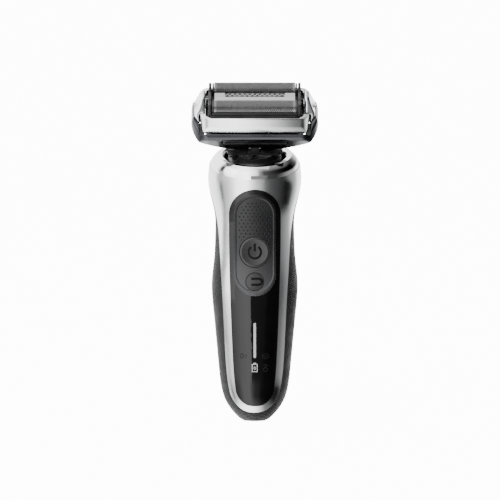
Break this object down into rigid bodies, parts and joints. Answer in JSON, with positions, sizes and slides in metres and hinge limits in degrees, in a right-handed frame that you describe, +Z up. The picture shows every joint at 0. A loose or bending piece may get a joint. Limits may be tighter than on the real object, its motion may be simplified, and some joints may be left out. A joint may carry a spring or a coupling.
{
  "type": "foil shaver",
  "caption": "Cordless electric foil shaver: slim handle with glossy front panel, press keys and ribbed grip, swinging head in a two-armed cradle, pull-off cutting cassette",
  "frame": {"origin": "under the middle of the whole shaver (the head leans out over the front), on the surface it is stood on", "axes": "+Z up the handle towards the head, -Y the front with the keys, +X the user's right as seen in the front view"},
  "size_m": [0.0612, 0.0434, 0.1655],
  "materials": {
    "front_shell": "satin chrome",
    "grip_shell": "ribbed soft-touch",
    "foot_cap": "ribbed soft-touch",
    "display_lens": "piano black",
    "button_pad": "soft-touch, dimpled",
    "light_bar": "translucent",
    "power_button": "satin",
    "lock_button": "satin",
    "collar_ring": "polished",
    "neck_dome": "satin",
    "inner_frame": "moulded",
    "battery_cell": "sleeved",
    "cell_tabs": "plain",
    "main_board": "solder mask",
    "power_switch": "moulded",
    "lock_switch": "moulded",
    "status_lights": "clear",
    "motor_core": "laminated",
    "motor_coil": "enamelled copper",
    "motor_bracket": "pressed",
    "guide_rods": "ground",
    "armature": "machined",
    "armature_magnets": "plated",
    "drive_pin": "ground",
    "power_inlet": "moulded",
    "inlet_pins": "plated",
    "cradle_arms": "satin chrome",
    "chin_shell": "metallic graphite",
    "chin_trim": "satin",
    "dock_legs": "moulded",
    "roll_pins": "ground",
    "head_base": "moulded",
    "pivot_pins": "ground",
    "head_frame": "satin silver",
    "frame_tray": "moulded",
    "release_button_left": "satin",
    "release_button_right": "satin",
    "cassette_frame": "satin",
    "front_foil": "perforated",
    "rear_foil": "perforated",
    "front_foil_holder": "moulded",
    "rear_foil_holder": "moulded",
    "front_cutter": "ground",
    "rear_cutter": "ground",
    "trimmer_holder": "moulded",
    "trimmer_guard": "toothed",
    "trimmer_cutter": "ground",
    "drive_bridge": "moulded"
  },
  "bodies": {
    "handle": {"grip_shell": "grip_shell", "foot_cap": "foot_cap", "front_shell": "front_shell", "display_lens": "display_lens", "button_pad": "button_pad", "light_bar": "light_bar", "collar_ring": "collar_ring", "neck_dome": "neck_dome", "inner_frame": "inner_frame", "battery_cell": "battery_cell", "cell_tabs": "cell_tabs", "main_board": "main_board", "power_switch": "power_switch", "lock_switch": "lock_switch", "status_lights": "status_lights", "motor_core": "motor_core", "motor_coil": "motor_coil", "motor_bracket": "motor_bracket", "guide_rods": "guide_rods", "power_inlet": "power_inlet", "inlet_pins": "inlet_pins"},
    "power_key": {"power_button": "power_button"},
    "lock_key": {"lock_button": "lock_button"},
    "motor_mover": {"armature": "armature", "armature_magnets": "armature_magnets", "drive_pin": "drive_pin"},
    "base": {"head_base": "head_base", "dock_legs": "dock_legs"},
    "cradle": {"chin_shell": "chin_shell", "chin_trim": "chin_trim", "cradle_arms": "cradle_arms", "roll_pins": "roll_pins", "pivot_pins": "pivot_pins"},
    "swing_frame": {"head_frame": "head_frame", "frame_tray": "frame_tray"},
    "latch_left": {"release_button_left": "release_button_left"},
    "latch_right": {"release_button_right": "release_button_right"},
    "cassette": {"cassette_frame": "cassette_frame"},
    "bridge": {"drive_bridge": "drive_bridge"},
    "front_foil_unit": {"front_foil_holder": "front_foil_holder", "front_foil": "front_foil"},
    "rear_foil_unit": {"rear_foil_holder": "rear_foil_holder", "rear_foil": "rear_foil"},
    "trimmer_unit": {"trimmer_holder": "trimmer_holder", "trimmer_guard": "trimmer_guard"},
    "front_cutter_unit": {"front_cutter": "front_cutter"},
    "rear_cutter_unit": {"rear_cutter": "rear_cutter"},
    "trimmer_cutter_unit": {"trimmer_cutter": "trimmer_cutter"}
  },
  "joints": [
    {"name": "power_button_press", "type": "slide", "parent": "handle", "child": "power_key", "axis": [0, 1, 0], "range_m": [0, 0.0005], "stiffness_N_per_m": 400, "springref_m": -0.002},
    {"name": "lock_button_press", "type": "slide", "parent": "handle", "child": "lock_key", "axis": [0, 1, 0], "range_m": [0, 0.0005], "stiffness_N_per_m": 400, "springref_m": -0.002},
    {"name": "motor_stroke", "type": "slide", "parent": "handle", "child": "motor_mover", "axis": [1, 0, 0], "range_m": [-0.0012, 0.0012], "stiffness_N_per_m": 1500},
    {"name": "head_pull_off", "type": "slide", "parent": "handle", "child": "base", "axis": [0, -0.4226, 0.9063], "range_m": [0, 0.018]},
    {"name": "head_roll", "type": "hinge", "parent": "base", "child": "cradle", "pos_m": [0, -0.00013, 0.13905], "axis": [0, 0.9063, 0.4226], "range_deg": [-4, 4], "stiffness_Nm_per_rad": 0.6},
    {"name": "head_pitch", "type": "hinge", "parent": "cradle", "child": "swing_frame", "pos_m": [0, -0.00757, 0.155], "axis": [1, 0, 0], "range_deg": [-15, 15], "stiffness_Nm_per_rad": 0.3},
    {"name": "latch_left_press", "type": "slide", "parent": "swing_frame", "child": "latch_left", "axis": [1, 0, 0], "range_m": [0, 0.0006], "stiffness_N_per_m": 400, "springref_m": -0.002},
    {"name": "latch_right_press", "type": "slide", "parent": "swing_frame", "child": "latch_right", "axis": [-1, 0, 0], "range_m": [0, 0.0006], "stiffness_N_per_m": 400, "springref_m": -0.002},
    {"name": "cassette_pull_off", "type": "slide", "parent": "swing_frame", "child": "cassette", "axis": [0, -0.4226, 0.9063], "range_m": [0, 0.012]},
    {"name": "front_foil_float", "type": "slide", "parent": "cassette", "child": "front_foil_unit", "axis": [0, -0.4226, 0.9063], "range_m": [-0.0015, 0], "stiffness_N_per_m": 300, "springref_m": 0.004},
    {"name": "rear_foil_float", "type": "slide", "parent": "cassette", "child": "rear_foil_unit", "axis": [0, -0.4226, 0.9063], "range_m": [-0.0015, 0], "stiffness_N_per_m": 300, "springref_m": 0.004},
    {"name": "trimmer_float", "type": "slide", "parent": "cassette", "child": "trimmer_unit", "axis": [0, -0.4226, 0.9063], "range_m": [-0.0015, 0], "stiffness_N_per_m": 300, "springref_m": 0.004},
    {"name": "bridge_stroke", "type": "slide", "parent": "cassette", "child": "bridge", "axis": [1, 0, 0], "range_m": [-0.0012, 0.0012]},
    {"name": "front_cutter_stroke", "type": "slide", "parent": "front_foil_unit", "child": "front_cutter_unit", "axis": [1, 0, 0], "range_m": [-0.0012, 0.0012]},
    {"name": "rear_cutter_stroke", "type": "slide", "parent": "rear_foil_unit", "child": "rear_cutter_unit", "axis": [1, 0, 0], "range_m": [-0.0012, 0.0012]},
    {"name": "trimmer_cutter_stroke", "type": "slide", "parent": "trimmer_unit", "child": "trimmer_cutter_unit", "axis": [1, 0, 0], "range_m": [-0.0012, 0.0012]}
  ],
  "couplings": [
    {"joint": "bridge_stroke", "follows": "motor_stroke", "ratio": 1},
    {"joint": "front_cutter_stroke", "follows": "motor_stroke", "ratio": 1},
    {"joint": "rear_cutter_stroke", "follows": "motor_stroke", "ratio": 1},
    {"joint": "trimmer_cutter_stroke", "follows": "motor_stroke", "ratio": 1}
  ]
}
